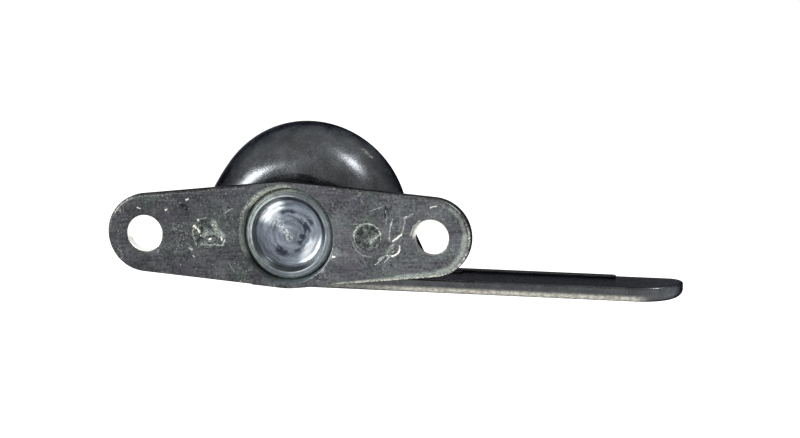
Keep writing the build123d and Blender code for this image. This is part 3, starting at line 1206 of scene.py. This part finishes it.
@dataclass(frozen=True)
class BackPlate(SubAssembly):
    """Mounting plate with its two stop pins."""

    title: str = "back plate"
    body: str = "base"
    pin_x: float = 14.1
    peen_radius: float = 2.5
    peen_depth: float = 0.6
    peen_cuts: int = 4
    fade_mm: float = 0.4
    dimple_mm: float = 0.1
    dimples_per_mm: float = 1.3
    windows: tuple[Window, ...] = (
        Window((17.0, -5.3), (21.85, 5.6)),
        Window((-21.6, -4.6), (-17.0, 5.4)),
    )

    def finishes(self) -> dict[Node, bpy.types.Material]:
        """Finish of each of its nodes."""
        return {
            Node.BASE_PLATE: PlateSteel().material(),
            Node.STOP_PINS: PinSteel(pin_x=self.pin_x).material(),
        }

    def dress(self, nodes: dict[str, bpy.types.Object]) -> None:
        """Puts each finish in its slots, then wears the plate and the pins in relief.

        Args:
            nodes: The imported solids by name.
        """
        super().dress(nodes)
        relief = Relief()
        plate = Mould(nodes[Node.BASE_PLATE.value], "worn_base_plate")
        for window in self.windows:
            window.open(plate)
            plate.press(window.share, relief.height)
        plate.settle(Node.BASE_PLATE, self.body)
        pins = Mould(nodes[Node.STOP_PINS.value], "hammered_stop_pins")
        pins.choose(lambda centre, facing: centre.y < self.peen_depth and facing.y < -0.5)
        pins.edit(lambda: bpy.ops.mesh.subdivide(number_cuts=self.peen_cuts))
        pins.press(self.pin_share, lambda place: relief.height(place) + self.dimples(place))
        pins.settle(Node.STOP_PINS, self.body)

    def pin_share(self, place: Vector) -> float:
        """Share of the relief on a pin's end, which fades out towards its edge.

        Args:
            place: Place in millimetres.

        Returns:
            The share, from 0 to 1.
        """
        if place.y >= self.peen_depth:
            return 0.0
        away = math.hypot(abs(place.x) - self.pin_x, place.z)
        return min(1.0, max(0.0, (self.peen_radius - away) / self.fade_mm))

    def dimples(self, place: Vector) -> float:
        """Depth of the hammer dimples at a place on a pin's end, both in millimetres."""
        return self.dimple_mm * (0.5 + noise.noise(Vector((place.x, 0.0, place.z)) * self.dimples_per_mm))


@dataclass(frozen=True)
class Pivot(SubAssembly):
    """Rivet with the washers that it holds."""

    title: str = "pivot"

    def finishes(self) -> dict[Node, bpy.types.Material]:
        """Finish of each of its nodes."""
        thrust = WasherSteel("thrust_steel", dark=(0.07, 0.07, 0.068), light=(0.2, 0.2, 0.19))
        spring = WasherSteel("spring_steel", dark=(0.03, 0.035, 0.055), light=(0.07, 0.08, 0.11))
        return {
            Node.PIVOT_RIVET: RivetSteel().material(),
            Node.THRUST_WASHER: thrust.material(),
            Node.HEAD_WASHER: WasherSteel("washer_steel").material(),
            Node.SPRING_WASHER: spring.material(),
        }


@dataclass(frozen=True)
class CrescentLever(SubAssembly):
    """Hub, crescent and handle strip in one pressing."""

    title: str = "crescent lever"

    def finishes(self) -> dict[Node, bpy.types.Material]:
        """Finish of each of its nodes."""
        return {Node.CRESCENT_LEVER: LeverSteel().material()}

    def reach(self, nodes: dict[str, bpy.types.Object]) -> float:
        """Radius in metres of the circle that the lever's tip sweeps."""
        vertices = nodes[Node.CRESCENT_LEVER.value].data.vertices
        return max(math.hypot(vertex.co.x, vertex.co.z) for vertex in vertices)


@dataclass(frozen=True)
class PhotoCamera:
    """Camera found from the two screw holes and the recess, as seen from the pivot."""

    azimuth: float = 16.5
    elevation: float = 9.5
    roll: float = 1.78
    distance_mm: float = 490.0
    focal_px: float = 2915.0
    pivot_px: Point = (286.1, 235.6)
    frame_px: tuple[int, int] = (800, 438)

    def place(self) -> None:
        """Adds the camera and makes it the scene's own."""
        turn, lift, roll = (math.radians(angle) for angle in (self.azimuth, self.elevation, self.roll))
        back = Vector((math.sin(turn) * math.cos(lift), -math.cos(turn) * math.cos(lift), math.sin(lift)))
        right = Vector((math.cos(turn), math.sin(turn), 0.0))
        up = back.cross(right)
        aimed = Matrix((right, up, back)).transposed() @ Matrix.Rotation(-roll, 3, "Z")
        across, down = (pixel - 0.5 * size for pixel, size in zip(self.pivot_px, self.frame_px))
        sight = Vector((across, -down, -self.focal_px)).normalized()
        aimed = aimed @ sight.rotation_difference(Vector((0.0, 0.0, -1.0))).to_matrix()
        data = bpy.data.cameras.new("photo_camera")
        data.sensor_width = 36.0
        data.lens = self.focal_px / self.frame_px[0] * data.sensor_width
        data.clip_start = 0.01
        data.clip_end = 50.0
        camera = bpy.data.objects.new("photo_camera", data)
        bpy.context.scene.collection.objects.link(camera)
        place = aimed @ (sight * -self.distance_mm * MM)
        camera.matrix_world = Matrix.Translation(place) @ aimed.to_4x4()
        bpy.context.scene.camera = camera


@dataclass(frozen=True)
class Lamp:
    """One soft area lamp."""

    name: str
    toward: tuple[float, float, float]
    distance: float
    size: tuple[float, float]
    power: float

    def hang(self) -> None:
        """Adds the lamp, turned to the middle of the lock."""
        data = bpy.data.lights.new(self.name, "AREA")
        data.shape = "ELLIPSE"
        data.size, data.size_y = self.size
        data.energy = self.power
        lamp = bpy.data.objects.new(self.name, data)
        bpy.context.scene.collection.objects.link(lamp)
        direction = Vector(self.toward).normalized()
        lamp.location = direction * self.distance
        lamp.rotation_mode = "QUATERNION"
        lamp.rotation_quaternion = (-direction).to_track_quat("-Z", "Y")


@dataclass(frozen=True)
class Studio:
    """White floor, white surroundings and soft lamps."""

    floor_size: float = 30.0
    floor_gap: float = 0.002
    plain_level: float = 0.45
    floor_glow: float = 0.75
    floor_colour: Colour = (0.85, 0.85, 0.85)
    lamps: Sequence[Lamp] = (
        Lamp("left_lamp", (-0.69, -0.70, 0.24), 0.8, (0.38, 0.2), 7.5),
        Lamp("upper_lamp", (0.57, -0.12, 0.81), 0.7, (0.13, 0.2), 2.1),
    )

    def build(self, sweep: float) -> None:
        """Adds the floor, the world and the lamps.

        Args:
            sweep: Radius in metres that the lever needs to turn clear of the floor.
        """
        depth = sweep + self.floor_gap
        bpy.ops.object.select_all(action="DESELECT")
        bpy.ops.mesh.primitive_plane_add(size=self.floor_size, location=(0.0, 0.0, -depth))
        floor = bpy.context.object
        floor.name = "floor"
        floor.data.transform(floor.matrix_world)
        floor.matrix_world = Matrix.Identity(4)
        floor.data.materials.append(self.pale_floor())
        self.white_room()
        for lamp in self.lamps:
            lamp.hang()
        bpy.context.scene.view_settings.view_transform = "Standard"

    def pale_floor(self) -> bpy.types.Material:
        """Builds the floor's material, which shows white to the camera and to metal.

        Returns:
            The material.
        """
        graph = Graph("pale_floor", metal=0.0)
        graph.feed(graph.shader.inputs["Base Color"], self.floor_colour)
        graph.feed(graph.shader.inputs["Emission Color"], WHITE)
        graph.feed(graph.shader.inputs["Roughness"], 0.9)
        graph.feed(graph.shader.inputs["Specular IOR Level"], 0.0)
        seen = self.seen(graph.result.node_tree)
        graph.feed(graph.shader.inputs["Emission Strength"], graph.product(seen, self.floor_glow))
        return graph.result

    def white_room(self) -> None:
        """Makes the world white to the camera and to metal, and plain for the rest."""
        world = bpy.data.worlds.new("white_room")
        bpy.context.scene.world = world
        world.use_nodes = True
        tree = world.node_tree
        background = tree.nodes["Background"]
        background.inputs["Color"].default_value = (*WHITE, 1.0)
        level = tree.nodes.new("ShaderNodeMapRange")
        level.inputs["To Min"].default_value = self.plain_level
        tree.links.new(self.seen(tree), level.inputs["Value"])
        tree.links.new(level.outputs["Result"], background.inputs["Strength"])

    def seen(self, tree: bpy.types.NodeTree) -> Socket:
        """Tells what the camera sees, directly, in metal or through glass, from plain light.

        Args:
            tree: Tree that takes the nodes.

        Returns:
            1 for what is seen, 0 for plain light.
        """
        path = tree.nodes.new("ShaderNodeLightPath")
        result = path.outputs["Is Camera Ray"]
        for name in ("Is Glossy Ray", "Is Transmission Ray"):
            either = tree.nodes.new("ShaderNodeMath")
            either.operation = "MAXIMUM"
            tree.links.new(result, either.inputs[0])
            tree.links.new(path.outputs[name], either.inputs[1])
            result = either.outputs["Value"]
        return result


def main() -> None:
    """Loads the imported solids, dresses them and sets up the picture."""
    logging.basicConfig(level=logging.INFO, format="%(name)s: %(message)s")
    noise.seed_set(NOISE_SEED)
    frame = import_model()
    lever = CrescentLever()
    for part in (BackPlate(), Pivot(), lever):
        part.dress(frame["nodes"])
    Studio().build(lever.reach(frame["nodes"]))
    PhotoCamera().place()


if __name__ == "__main__":
    main()
